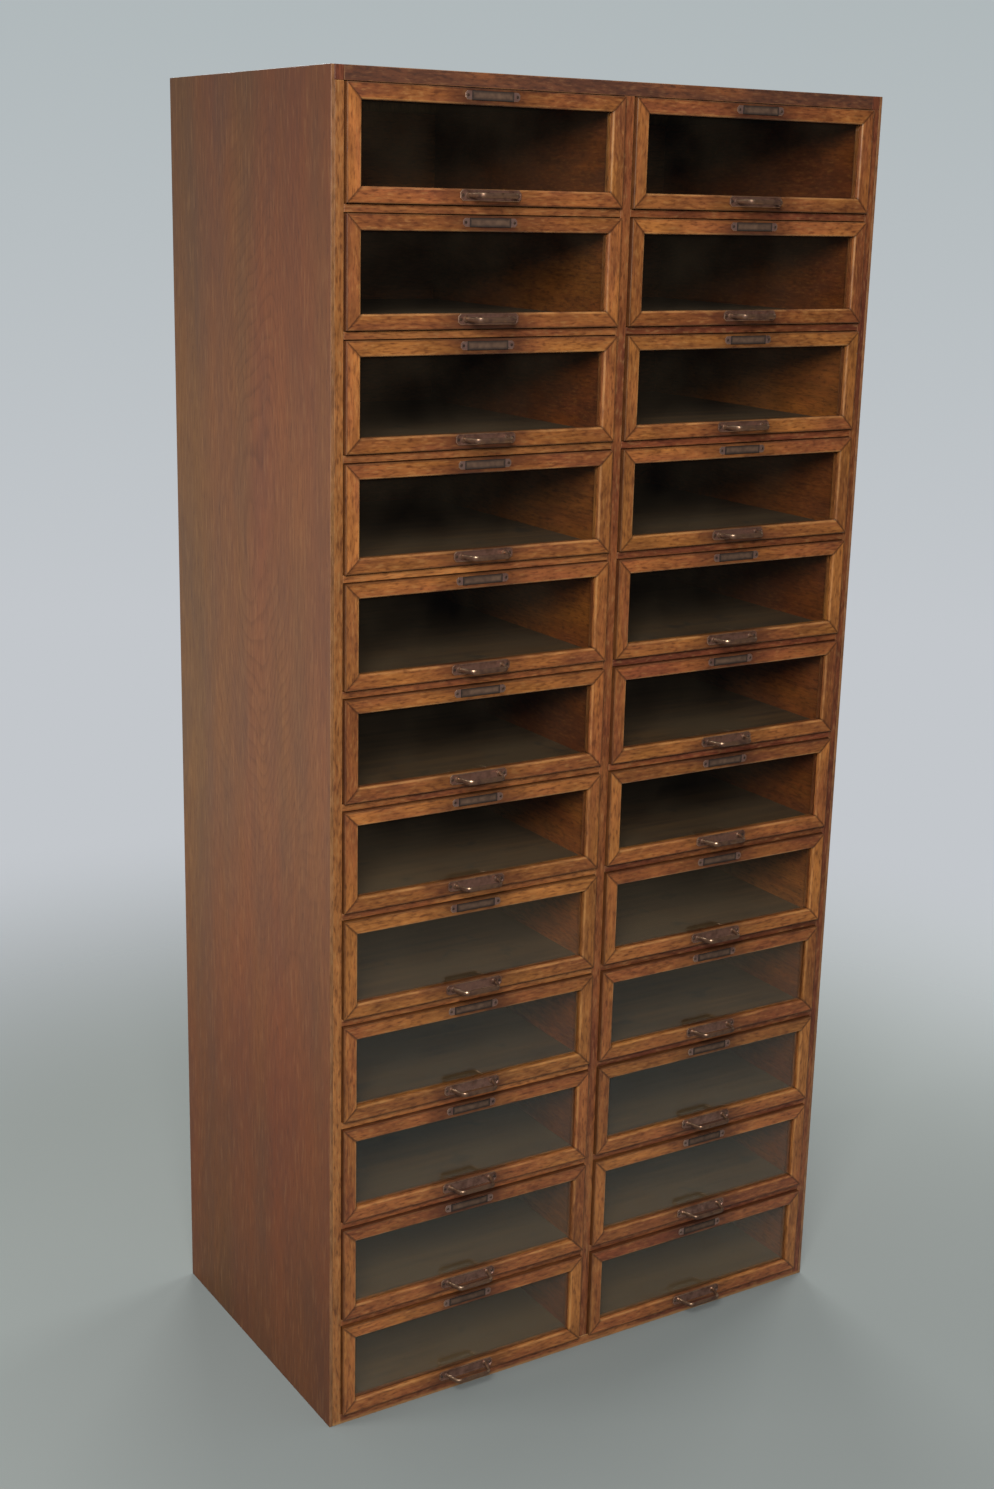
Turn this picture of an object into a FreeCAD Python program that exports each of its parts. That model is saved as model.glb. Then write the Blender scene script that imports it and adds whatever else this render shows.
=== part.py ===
import FreeCAD, Part
import os
import Sketcher

# A tall shop cabinet for haberdashery: two columns of twelve equal drawers with glazed fronts.
# Millimetres. X runs to the right, Y runs from front to back and Z runs up. The cabinet's origin
# is on the floor, at the middle of the carcass. Its pieces are drawn with y = 0 in the front plane,
# where the carcass's front edges lie, and each sub-part is then moved forward by half the depth.

ROWS = 12
COLUMNS = (("left", -1), ("right", 1))

# Driving sizes. Each is one row of the sheet: its name, its value and what it is.
SIZES = [
    ("carcass_depth", 488, "front plane to the back face of the cabinet"),
    ("side_panel_thick", 5, "veneered panel that covers each side"),
    ("stile_width", 13, "front stiles and back posts, seen from the front"),
    ("face_depth", 40, "stiles, muntin and divider rails, front to back"),
    ("post_depth", 40, "back posts, front to back"),
    ("muntin_width", 16, "centre muntin, seen from the front"),
    ("partition_thick", 16, "board behind the muntin"),
    ("top_board_thick", 18, "top board, whose front edge is the top rail"),
    ("bottom_board_thick", 15, "bottom board, whose front edge is the bottom rail"),
    ("back_panel_thick", 6, "plywood back"),
    ("rail_thick", 10, "divider rail between two drawers, top to bottom"),
    ("runner_thick", 10, "runner, top to bottom"),
    ("runner_bearing", 10.5, "how far a runner reaches in under a drawer's side"),
    ("guide_rise", 15, "guide strip beside a drawer, top to bottom"),
    ("front_width", 407, "drawer front"),
    ("front_height", 140.25, "drawer front"),
    ("front_gap", 1, "gap round a drawer front in its opening"),
    ("front_proud", 6, "how far a drawer front stands out of the front plane"),
    ("frame_thick", 19, "frame of a drawer front, front to back"),
    ("member_width", 20, "each member of a drawer front's frame"),
    ("outer_arris", 1.2, "small chamfer on the outer edge of a member"),
    ("sight_bevel", 2.5, "bevel on the inner edge of a member"),
    ("glass_setback", 6, "front face of a frame to the face of its glass"),
    ("glass_thick", 2.5, "window glass"),
    ("rebate", 6, "how far the rebate for the glass is cut into a member"),
    ("glass_play", 0.5, "gap between the edge of the glass and its rebate"),
    ("bead_width", 5.5, "glazing bead, across the rebate"),
    ("bead_depth", 8, "glazing bead, front to back"),
    ("box_play", 1.5, "gap between a drawer's side and what guides it"),
    ("box_lift", 0.3, "running clearance between a drawer and its runners"),
    ("box_height", 128, "sides of a drawer"),
    ("box_side_thick", 9, "sides of a drawer"),
    ("box_back_thick", 9, "back of a drawer"),
    ("box_stop_gap", 0.4, "gap between a shut drawer and the back panel that stops it"),
    ("bottom_thick", 4, "plywood bottom of a drawer"),
    ("bottom_rise", 8, "lower edge of a drawer's sides to the underside of its bottom"),
    ("bottom_groove", 4, "depth of the groove that holds the bottom"),
    ("pull_drop", 7.5, "upper edge of the lower member to the middle of the pull"),
    ("plate_length", 90, "back plate of the pull"),
    ("plate_height", 14, "back plate of the pull"),
    ("plate_thick", 1.5, "back plate of the pull"),
    ("plate_clip", 3.5, "clipped corners of the back plate"),
    ("bow_length", 56, "bow of the pull at its grip, outside to outside"),
    ("bow_spread", 70, "bow of the pull at its feet, outside to outside"),
    ("bow_reach", 25, "how far the bow stands out of its plate"),
    ("bow_height", 7, "bow of the pull, top to bottom"),
    ("bow_thick", 4, "bow of the pull, seen from above"),
    ("bow_corner", 8, "outer radius of the bow's corners"),
    ("holder_drop", 8.5, "upper edge of the upper member to the middle of the label holder"),
    ("holder_length", 80, "label holder with its ears"),
    ("holder_height", 14.5, "folded rim of the label holder, top to bottom"),
    ("ear_length", 8, "each fixing ear of the label holder"),
    ("ear_height", 11, "each fixing ear of the label holder, top to bottom"),
    ("ear_clip", 3, "clipped corners of the ears"),
    ("ear_thick", 0.8, "metal of the label holder"),
    ("rim_thick", 1.8, "folded rim of the label holder, front to back"),
    ("rim_width", 3, "folded rim round the window of the label holder"),
    ("card_thick", 0.5, "blank card"),
    ("card_cover", 1.5, "how far the rim covers each edge of the card"),
    ("card_play", 0.2, "gap round the card in its holder"),
]

# Sizes that follow from the driving ones, as expressions that read the sheet.
SIDE_THICK = "(sizes.side_panel_thick + sizes.stile_width)"
OPENING_WIDTH = "(sizes.front_width + 2 * sizes.front_gap)"
OPENING_HEIGHT = "(sizes.front_height + 2 * sizes.front_gap)"
PITCH = f"({OPENING_HEIGHT} + sizes.rail_thick)"
COLUMN_X = f"({OPENING_WIDTH} / 2 + sizes.muntin_width / 2)"
HALF_WIDTH = f"(sizes.muntin_width / 2 + {OPENING_WIDTH} + {SIDE_THICK})"
INNER_HALF_WIDTH = f"({HALF_WIDTH} - sizes.side_panel_thick)"
OPENINGS_TOP = f"(sizes.bottom_board_thick + {ROWS} * {PITCH} - sizes.rail_thick)"
HEIGHT = f"({OPENINGS_TOP} + sizes.top_board_thick)"
INNER_BACK = "(sizes.carcass_depth - sizes.back_panel_thick)"
FRAME_BACK = "(sizes.frame_thick - sizes.front_proud)"
GLASS_FACE = "(sizes.glass_setback - sizes.front_proud)"
REBATE_EDGE = "(sizes.member_width - sizes.rebate)"
BOX_LENGTH = f"({INNER_BACK} - sizes.box_stop_gap - {FRAME_BACK})"
BOX_OUTER = f"({OPENING_WIDTH} / 2 - sizes.box_play)"
BOX_INNER = f"({BOX_OUTER} - sizes.box_side_thick)"
BOTTOM_TOP = "(sizes.box_lift + sizes.bottom_rise + sizes.bottom_thick)"

doc = FreeCAD.newDocument("haberdashery_cabinet")
sheet = doc.addObject("Spreadsheet::Sheet", "sizes")
for row, (name, value, meaning) in enumerate(SIZES, start=1):
    sheet.set(f"A{row}", name)
    sheet.set(f"B{row}", str(value))
    sheet.set(f"C{row}", meaning)
    sheet.setAlias(f"B{row}", name)
doc.recompute()

nodes = []
steps = []


# Building blocks

def place(piece, x="0", y="0", z="0"):
    """Hold a piece's place by expressions."""
    for axis, expression in (("x", x), ("y", y), ("z", z)):
        piece.setExpression("Placement.Base." + axis, expression)


def board(name, low, extent):
    """A rectangular board or strip, from the expressions of its lowest corner and its extents."""
    piece = doc.addObject("Part::Box", name)
    place(piece, *low)
    for side, expression in zip(("Length", "Width", "Height"), extent):
        piece.setExpression(side, expression)
    return piece


def outline(body, role, *loops):
    """A sketch on one of the body's origin planes, of closed loops of corners.

    Each corner is a pair of expressions, and both of its coordinates are constrained to them.
    """
    plane = next(item for item in body.Origin.OriginFeatures if item.Role == role)
    sketch = body.newObject("Sketcher::SketchObject", body.Name + "_sketch")
    sketch.AttachmentSupport = (plane, [""])
    sketch.MapMode = "FlatFace"
    for corners in loops:
        first = sketch.GeometryCount
        spots = [FreeCAD.Vector(*(float(sketch.evalExpression(word)) for word in corner), 0)
                 for corner in corners]
        for start, end in zip(spots, spots[1:] + spots[:1]):
            sketch.addGeometry(Part.LineSegment(start, end))
        for index, (corner, spot) in enumerate(zip(corners, spots)):
            line, following = first + index, first + (index + 1) % len(corners)
            sketch.addConstraint(Sketcher.Constraint("Coincident", line, 2, following, 1))
            for kind, word, value in zip(("DistanceX", "DistanceY"), corner, spot):
                number = sketch.addConstraint(Sketcher.Constraint(kind, -1, 1, line, 1, value))
                sketch.setExpression(f"Constraints[{number}]", word)
    return sketch


def rectangle(width, height):
    """The corners of a rectangle centred on the sketch's origin."""
    x, y = f"{width} / 2", f"{height} / 2"
    return [(f"-{x}", f"-{y}"), (x, f"-{y}"), (x, y), (f"-{x}", y)]


def clipped(length, height, clip):
    """The corners of a plate centred on the sketch's origin, with its four corners clipped."""
    x, y = f"{length} / 2", f"{height} / 2"
    inner_x, inner_y = f"({x} - {clip})", f"({y} - {clip})"
    return [(f"-{inner_x}", f"-{y}"), (inner_x, f"-{y}"), (x, f"-{inner_y}"), (x, inner_y),
            (inner_x, y), (f"-{inner_x}", y), (f"-{x}", inner_y), (f"-{x}", f"-{inner_y}")]


def pad(body, sketch, length, side="One side", backwards=False):
    """Give a sketch thickness along its normal, or against it."""
    feature = body.newObject("PartDesign::Pad", body.Name + "_pad")
    feature.Profile = (sketch, [""])
    feature.SideType = side
    feature.Reversed = backwards
    feature.setExpression("Length", length)
    body.Tip = feature
    return feature


def pocket(body, sketch, length=None, backwards=False):
    """Cut a sketch out of the body, to a depth or, with no length, all the way through."""
    before = body.Tip
    feature = body.newObject("PartDesign::Pocket", body.Name + "_pocket")
    feature.Profile = (sketch, [""])
    feature.Reversed = backwards
    if length is None:
        feature.SideType = "Symmetric"
        feature.Type = "ThroughAll"
    else:
        feature.setExpression("Length", length)
    body.Tip = feature
    steps.append((before, feature))
    return feature


def soften(body, radius, test):
    """Round the edges of the body's tip that a test picks by their middle and direction."""
    doc.recompute()
    before = body.Tip
    names = []
    for number, edge in enumerate(before.Shape.Edges, start=1):
        middle = edge.valueAt((edge.FirstParameter + edge.LastParameter) / 2)
        along = edge.valueAt(edge.LastParameter) - edge.valueAt(edge.FirstParameter)
        if test(middle, along):
            names.append(f"Edge{number}")
    feature = body.newObject("PartDesign::Fillet", body.Name + "_fillet")
    feature.Base = (before, names)
    feature.setExpression("Radius", radius)
    body.Tip = feature
    steps.append((before, feature))
    return feature


def node(label, *pieces, x="0", z="0"):
    """One named sub-part: its separate solids, moved together to their place in the cabinet."""
    part = doc.addObject("Part::Compound", label)
    part.Links = list(pieces)
    part.Label = label
    place(part, x, "-sizes.carcass_depth / 2", z)
    nodes.append((label, part))


# Drawer, in its own frame: the middle of its opening's lower edge, in the front plane

def turned(body, turn, x, y, z):
    """Turn a frame piece about the Y axis, so that its inner edge faces the middle of the pane."""
    body.Placement = FreeCAD.Placement(FreeCAD.Vector(), FreeCAD.Rotation(FreeCAD.Vector(0, 1, 0), turn))
    place(body, x, y, z)


def around_pane(make, name, inset, y):
    """Make the four pieces of a mitred frame that lies a given way in from the drawer front's edge."""
    width, height = f"(sizes.front_width - 2 * {inset})", f"(sizes.front_height - 2 * {inset})"
    middle = "(sizes.front_gap + sizes.front_height / 2)"
    return [
        make(f"lower_{name}", width, 0, "0", y, f"{middle} - {height} / 2"),
        make(f"left_{name}", height, 90, f"-{width} / 2", y, middle),
        make(f"upper_{name}", width, 180, "0", y, f"{middle} + {height} / 2"),
        make(f"right_{name}", height, 270, f"{width} / 2", y, middle),
    ]


def front_member(name, length, turn, x, y, z):
    """A member of the front frame: moulded, rebated for the glass and mitred at both ends."""
    body = doc.addObject("PartDesign::Body", name)
    section = outline(body, "YZ_Plane", [
        ("sizes.frame_thick", "0"),
        ("sizes.outer_arris", "0"),
        ("0", "sizes.outer_arris"),
        ("0", "sizes.member_width - sizes.sight_bevel"),
        ("sizes.sight_bevel", "sizes.member_width"),
        ("sizes.glass_setback", "sizes.member_width"),
        ("sizes.glass_setback", REBATE_EDGE),
        ("sizes.frame_thick", REBATE_EDGE)])
    pad(body, section, length, side="Symmetric")
    end, inner = f"{length} / 2", f"({length} / 2 - sizes.member_width)"
    mitres = outline(
        body, "XZ_Plane",
        [(end, "0"), (end, "sizes.member_width"), (inner, "sizes.member_width")],
        [(f"-{end}", "0"), (f"-{inner}", "sizes.member_width"), (f"-{end}", "sizes.member_width")])
    pocket(body, mitres)
    turned(body, turn, x, y, z)
    return body


def glazing_bead(name, length, turn, x, y, z):
    """A mitred strip that holds the glass in its rebate from inside."""
    body = doc.addObject("PartDesign::Body", name)
    end, inner = f"{length} / 2", f"({length} / 2 - sizes.bead_width)"
    shape = outline(body, "XZ_Plane", [
        (f"-{end}", "0"), (end, "0"), (inner, "sizes.bead_width"), (f"-{inner}", "sizes.bead_width")])
    pad(body, shape, "sizes.bead_depth", backwards=True)
    turned(body, turn, x, y, z)
    return body


def window_glass():
    """The pane, against the shoulder of the rebate."""
    inset = f"({REBATE_EDGE} + sizes.glass_play)"
    return board(
        "pane",
        (f"-sizes.front_width / 2 + {inset}", GLASS_FACE, f"sizes.front_gap + {inset}"),
        (f"sizes.front_width - 2 * {inset}", "sizes.glass_thick", f"sizes.front_height - 2 * {inset}"))


def drawer_side(name, hand):
    """A drawer's side, grooved for the bottom. The hand is -1 on the left and 1 on the right."""
    body = doc.addObject("PartDesign::Body", name)
    outer, inner = f"{hand} * {BOX_OUTER}", f"{hand} * {BOX_INNER}"
    groove = f"{hand} * ({BOX_INNER} + sizes.bottom_groove)"
    low, high = "sizes.box_lift", "sizes.box_lift + sizes.box_height"
    groove_low = "sizes.box_lift + sizes.bottom_rise"
    section = outline(body, "XZ_Plane", [
        (outer, low), (inner, low), (inner, groove_low), (groove, groove_low),
        (groove, BOTTOM_TOP), (inner, BOTTOM_TOP), (inner, high), (outer, high)])
    pad(body, section, BOX_LENGTH, backwards=True)
    place(body, "0", FRAME_BACK, "0")
    return body


def drawer_back():
    """The back, between the sides and on the bottom."""
    return board(
        "drawer_back",
        (f"-{BOX_INNER}", f"{FRAME_BACK} + {BOX_LENGTH} - sizes.box_back_thick", BOTTOM_TOP),
        (f"2 * {BOX_INNER}", "sizes.box_back_thick",
         f"sizes.box_lift + sizes.box_height - {BOTTOM_TOP}"))


def drawer_bottom():
    """The bottom, slid in from behind along the grooves of the sides."""
    return board(
        "drawer_bottom",
        (f"-({BOX_INNER} + sizes.bottom_groove)", FRAME_BACK, "sizes.box_lift + sizes.bottom_rise"),
        (f"2 * ({BOX_INNER} + sizes.bottom_groove)", BOX_LENGTH, "sizes.bottom_thick"))


PULL_Z = "(sizes.front_gap + sizes.member_width - sizes.pull_drop)"
HOLDER_Z = "(sizes.front_gap + sizes.front_height - sizes.holder_drop)"


def pull_plate():
    """Back plate of the pull, flat on the lower member."""
    body = doc.addObject("PartDesign::Body", "pull_plate")
    pad(body, outline(body, "XZ_Plane", clipped(
        "sizes.plate_length", "sizes.plate_height", "sizes.plate_clip")), "sizes.plate_thick")
    place(body, "0", "-sizes.front_proud", PULL_Z)
    return body


def pull_bow():
    """Bow of the pull: two arms that spread towards the plate and a grip, one strap bent twice."""
    body = doc.addObject("PartDesign::Body", "pull_bow")
    slant = "((sizes.bow_spread - sizes.bow_length) / 2 / sizes.bow_reach)"
    outer, outer_foot = "sizes.bow_length / 2", "sizes.bow_spread / 2"
    inner, inner_foot = f"({outer} - sizes.bow_thick * (1 - {slant}))", f"({outer_foot} - sizes.bow_thick)"
    reach, hollow = "-sizes.bow_reach", "(sizes.bow_thick - sizes.bow_reach)"
    plan = outline(body, "XY_Plane", [
        (f"-{outer_foot}", "0"), (f"-{outer}", reach), (outer, reach), (outer_foot, "0"),
        (inner_foot, "0"), (inner, hollow), (f"-{inner}", hollow), (f"-{inner_foot}", "0")])
    pad(body, plan, "sizes.bow_height", side="Symmetric")
    front = -sheet.get("bow_reach")
    back = front + sheet.get("bow_thick")
    near = 1e-3

    def upright_at(depth):
        return lambda middle, along: abs(middle.y - depth) < near and abs(along.z) > near

    soften(body, "sizes.bow_corner", upright_at(front))
    soften(body, "sizes.bow_corner - sizes.bow_thick", upright_at(back))
    place(body, "0", "-sizes.front_proud - sizes.plate_thick", PULL_Z)
    return body


def label_holder():
    """Pressed label holder: a plate with clipped ears, a folded rim and a seat for the card."""
    body = doc.addObject("PartDesign::Body", "label_holder")
    rim_length = "(sizes.holder_length - 2 * sizes.ear_length)"
    pad(body, outline(body, "XZ_Plane", clipped(
        "sizes.holder_length", "sizes.ear_height", "sizes.ear_clip")), "sizes.ear_thick")
    pad(body, outline(body, "XZ_Plane", rectangle(rim_length, "sizes.holder_height")), "sizes.rim_thick")
    window = (f"({rim_length} - 2 * sizes.rim_width)", "(sizes.holder_height - 2 * sizes.rim_width)")
    pocket(body, outline(body, "XZ_Plane", rectangle(*window)))
    seat = [f"({side} + 2 * sizes.card_cover + 2 * sizes.card_play)" for side in window]
    pocket(body, outline(body, "XZ_Plane", rectangle(*seat)), "sizes.card_thick + sizes.card_play",
           backwards=True)
    place(body, "0", "-sizes.front_proud", HOLDER_Z)
    return body


def blank_card():
    """The card, on the wood behind the window of the label holder."""
    length = ("(sizes.holder_length - 2 * sizes.ear_length - 2 * sizes.rim_width"
              " + 2 * sizes.card_cover)")
    height = "(sizes.holder_height - 2 * sizes.rim_width + 2 * sizes.card_cover)"
    return board(
        "blank_card",
        (f"-{length} / 2", "-sizes.front_proud - sizes.card_thick", f"{HOLDER_Z} - {height} / 2"),
        (length, "sizes.card_thick", height))


drawer_pieces = (
    around_pane(front_member, "member", "0", "-sizes.front_proud")
    + around_pane(glazing_bead, "bead", REBATE_EDGE, f"{GLASS_FACE} + sizes.glass_thick")
    + [drawer_side("drawer_left_side", -1), drawer_side("drawer_right_side", 1)]
    + [drawer_back(), drawer_bottom(), pull_plate(), pull_bow(), label_holder(), blank_card()])
pane = window_glass()

for column, hand in COLUMNS:
    for row in range(ROWS):
        label = f"{column}_drawer_{ROWS - row:02d}"
        x, z = f"{hand} * {COLUMN_X}", f"sizes.bottom_board_thick + {row} * {PITCH}"
        node(label, *drawer_pieces, x=x, z=z)
        node(label + "_glass", pane, x=x, z=z)


# Carcass

def wide_board(name, thick, z):
    """Top or bottom board, notched at its front corners for the stiles."""
    body = doc.addObject("PartDesign::Body", name)
    notch = f"({INNER_HALF_WIDTH} - sizes.stile_width)"
    plan = outline(body, "XY_Plane", [
        (f"-{notch}", "0"), (notch, "0"), (notch, "sizes.face_depth"),
        (INNER_HALF_WIDTH, "sizes.face_depth"), (INNER_HALF_WIDTH, INNER_BACK),
        (f"-{INNER_HALF_WIDTH}", INNER_BACK), (f"-{INNER_HALF_WIDTH}", "sizes.face_depth"),
        (f"-{notch}", "sizes.face_depth")])
    pad(body, plan, thick)
    place(body, "0", "0", z)
    return body


def low_x(hand, outer, width):
    """Lowest x of a piece whose outer face lies at a distance from the middle, on either hand."""
    return f"-{outer}" if hand < 0 else f"{outer} - {width}"


FLOOR_Z = "sizes.bottom_board_thick"
INNER_HEIGHT = f"({OPENINGS_TOP} - sizes.bottom_board_thick)"
UNDER_TOP = f"({HEIGHT} - sizes.top_board_thick)"
RUNNER_REACH = "(sizes.box_play + sizes.runner_bearing)"

for side, hand in COLUMNS:
    panel_x = low_x(hand, HALF_WIDTH, "sizes.side_panel_thick")
    node(f"{side}_side_panel", board(
        f"{side}_veneered_panel", (panel_x, "0", "0"),
        ("sizes.side_panel_thick", "sizes.carcass_depth", HEIGHT)))
    stile_x = low_x(hand, INNER_HALF_WIDTH, "sizes.stile_width")
    node(f"{side}_stile",
         board(f"{side}_stile_upright", (stile_x, "0", "0"),
               ("sizes.stile_width", "sizes.face_depth", UNDER_TOP)),
         board(f"{side}_corner_block", (stile_x, "0", UNDER_TOP),
               ("sizes.stile_width", "sizes.face_depth", "sizes.top_board_thick")))

node("back_posts", *[
    board(f"{side}_post",
          (low_x(hand, INNER_HALF_WIDTH, "sizes.stile_width"), f"{INNER_BACK} - sizes.post_depth", FLOOR_Z),
          ("sizes.stile_width", "sizes.post_depth", INNER_HEIGHT))
    for side, hand in COLUMNS])
node("top_board", wide_board("top", "sizes.top_board_thick", UNDER_TOP))
node("bottom_board", wide_board("bottom", "sizes.bottom_board_thick", "0"))
node("back_panel", board(
    "plywood_back", (f"-{INNER_HALF_WIDTH}", INNER_BACK, "0"),
    (f"2 * {INNER_HALF_WIDTH}", "sizes.back_panel_thick", HEIGHT)))
node("centre_muntin", board(
    "muntin_upright", ("-sizes.muntin_width / 2", "0", FLOOR_Z),
    ("sizes.muntin_width", "sizes.face_depth", INNER_HEIGHT)))
node("centre_partition", board(
    "partition_board", ("-sizes.partition_thick / 2", "sizes.face_depth", FLOOR_Z),
    ("sizes.partition_thick", f"{INNER_BACK} - sizes.face_depth", INNER_HEIGHT)))

rails, runners = [], []
for side, hand in COLUMNS:
    outer_length = f"({INNER_BACK} - sizes.post_depth - sizes.face_depth)"
    inner_length = f"({INNER_BACK} - sizes.face_depth)"
    outer_width = f"(sizes.stile_width + {RUNNER_REACH})"
    inner_width = f"(sizes.muntin_width / 2 + {RUNNER_REACH} - sizes.partition_thick / 2)"
    for row in range(ROWS):
        drawer_floor = f"(sizes.bottom_board_thick + {row} * {PITCH})"
        runners.append(board(
            f"{side}_guide_{row}",
            (low_x(hand, INNER_HALF_WIDTH, "sizes.stile_width"), "sizes.face_depth", drawer_floor),
            ("sizes.stile_width", outer_length, "sizes.guide_rise")))
        if row == 0:
            continue
        rails.append(board(
            f"{side}_rail_{row}",
            (f"{hand} * {COLUMN_X} - {OPENING_WIDTH} / 2", "0", f"{drawer_floor} - sizes.rail_thick"),
            (OPENING_WIDTH, "sizes.face_depth", "sizes.rail_thick")))
        runner_z = f"{drawer_floor} - sizes.runner_thick"
        runners.append(board(
            f"{side}_outer_runner_{row}",
            (low_x(hand, INNER_HALF_WIDTH, outer_width), "sizes.face_depth", runner_z),
            (outer_width, outer_length, "sizes.runner_thick")))
        runners.append(board(
            f"{side}_inner_runner_{row}",
            (low_x(-hand, "(-sizes.partition_thick / 2)", inner_width), "sizes.face_depth", runner_z),
            (inner_width, inner_length, "sizes.runner_thick")))
node("divider_rails", *rails)
node("drawer_runners", *runners)


# Check everything, then write one file for each sub-part

doc.recompute()
for item in doc.Objects:
    if "Invalid" in item.State or "Error" in item.State:
        raise RuntimeError(f"{item.Name} failed: {item.State}")
for before, after in steps:
    if abs(after.Shape.Volume - before.Shape.Volume) < 0.1:
        raise RuntimeError(f"{after.Name} changes nothing")
os.makedirs("parts", exist_ok=True)
for label, part in nodes:
    shape = part.Shape
    if shape.isNull() or not shape.isValid() or len(shape.Solids) != len(part.Links):
        raise RuntimeError(f"{label} isn't {len(part.Links)} sound solids")
    shape.exportStep(f"parts/{label}.step")
print(len(nodes), "sub-parts,", sum(len(part.Links) for label, part in nodes), "solids")
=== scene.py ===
"""Looks of a tall haberdashery cabinet: two columns of twelve glazed drawers."""
import math
import random

import bmesh
import bpy
from mathutils import Matrix, Vector


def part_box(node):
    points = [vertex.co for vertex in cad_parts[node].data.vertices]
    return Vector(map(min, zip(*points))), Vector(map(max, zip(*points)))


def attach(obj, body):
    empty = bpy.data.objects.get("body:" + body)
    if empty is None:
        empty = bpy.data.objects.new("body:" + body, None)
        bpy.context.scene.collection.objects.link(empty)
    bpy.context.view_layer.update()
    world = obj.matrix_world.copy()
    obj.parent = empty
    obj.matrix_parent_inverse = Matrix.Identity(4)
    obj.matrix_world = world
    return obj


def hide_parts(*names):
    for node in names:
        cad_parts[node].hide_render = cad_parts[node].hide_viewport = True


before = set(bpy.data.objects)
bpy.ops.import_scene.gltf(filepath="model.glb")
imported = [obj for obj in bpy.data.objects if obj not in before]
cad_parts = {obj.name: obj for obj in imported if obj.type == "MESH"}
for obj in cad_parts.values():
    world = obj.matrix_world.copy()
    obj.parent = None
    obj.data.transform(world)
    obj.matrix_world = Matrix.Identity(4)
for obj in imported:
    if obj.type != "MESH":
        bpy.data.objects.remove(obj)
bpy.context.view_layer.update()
scene = bpy.context.scene
scene.view_settings.view_transform = "Standard"
MM = 0.001

# The camera stands where the photograph's did: at standing eye level, left of the front.
IMAGE_HEIGHT = 1489
FOCAL_PIXELS = 2000.6
CAMERA_PLACE = (-1.578, -2.476, 1.703)
YAW, PITCH_DOWN, ROLL = math.radians(32.06), math.radians(15.33), math.radians(1.37)
forward = Vector((math.sin(YAW) * math.cos(PITCH_DOWN), math.cos(YAW) * math.cos(PITCH_DOWN),
                  -math.sin(PITCH_DOWN)))
level = Vector((math.cos(YAW), -math.sin(YAW), 0))
upright = level.cross(forward)
across = math.cos(ROLL) * level + math.sin(ROLL) * upright
upward = math.cos(ROLL) * upright - math.sin(ROLL) * level
camera = bpy.data.objects.new("camera", bpy.data.cameras.new("camera"))
camera.data.lens = FOCAL_PIXELS / IMAGE_HEIGHT * camera.data.sensor_width
camera.matrix_world = (Matrix.Translation(CAMERA_PLACE)
                       @ Matrix((across, upward, -forward)).transposed().to_4x4())
scene.collection.objects.link(camera)
scene.camera = camera


# Sizes in metres. Those that the solids have too are the same as theirs.

ROWS = 12
COLUMNS = ("left", "right")
FRONT_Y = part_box("centre_muntin")[0].y
FRONT_WIDTH, FRONT_HEIGHT, FRONT_GAP, FRONT_PROUD = 407 * MM, 140.25 * MM, 1 * MM, 6 * MM
MEMBER_WIDTH, FRAME_THICK, REBATE = 20 * MM, 19 * MM, 6 * MM
GLASS_SETBACK, GLASS_THICK = 6 * MM, 2.5 * MM
SIGHT_BEVEL, OUTER_ARRIS = 2.5 * MM, 1.2 * MM
BEAD_WIDTH, BEAD_DEPTH, BEAD_ROUNDING = 5.5 * MM, 8 * MM, 3 * MM
BOX_LIFT, BOX_OUTER, BOX_SIDE, BOX_HEIGHT = 0.3 * MM, 203 * MM, 9 * MM, 128 * MM
BOX_LENGTH, BOTTOM_RISE, BOTTOM_THICK, GROOVE = 468.6 * MM, 8 * MM, 4 * MM, 4 * MM
BOARD_ARRIS, BOTTOM_ARRIS, SIDE_ROUNDING = 0.8 * MM, 0.3 * MM, 2 * MM
PULL_Z, HOLDER_Z = 13.5 * MM, 132.75 * MM
PLATE_LENGTH, PLATE_HEIGHT, PLATE_THICK, PLATE_CLIP = 90 * MM, 14 * MM, 1.5 * MM, 3.5 * MM
PLATE_ARRIS, PLATE_BORDER, FIELD_SLOPE, FIELD_DEPTH = 0.5 * MM, 1.2 * MM, 0.5 * MM, 0.5 * MM
BOW_LENGTH, BOW_SPREAD, BOW_REACH = 56 * MM, 70 * MM, 25 * MM
BOW_HEIGHT, BOW_FOOT_SHARE, BOW_THICK, BOW_CORNER = 7 * MM, 0.74, 4 * MM, 8 * MM
COLLAR_FOOT, COLLAR_TOP, COLLAR_HEIGHT, COLLAR_RISE = 4.6 * MM, 3.4 * MM, 1.8 * MM, 0.4 * MM
HOLDER_LENGTH, HOLDER_HEIGHT, EAR_LENGTH, EAR_HEIGHT = 80 * MM, 14.5 * MM, 8 * MM, 11 * MM
EAR_CLIP, EAR_THICK, RIM_THICK, RIM_WIDTH = 3 * MM, 0.8 * MM, 1.8 * MM, 3 * MM
LIP_ROUNDING, CARD_THICK, CARD_COVER, CARD_ARRIS = 0.7 * MM, 0.5 * MM, 1.5 * MM, 0.1 * MM
STILE_WIDTH, FACE_DEPTH, RAIL_THICK = 13 * MM, 40 * MM, 10 * MM
PULL_SCREW, HOLDER_SCREW, BACK_SCREW = 2.2 * MM, 2.0 * MM, 3 * MM
SCREW_TOP, SCREW_RISE, SLOT_HALF, SLOT_DEPTH = 0.7, 0.4, 0.17, 0.25
PULL_SCREW_IN, PULL_SCREW_SEAT = 4 * MM, 0.5 * MM
BACK_SCREW_ROWS, BACK_SCREW_SIDE, BACK_SCREW_END = 9, 6.5 * MM, 7 * MM
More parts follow.
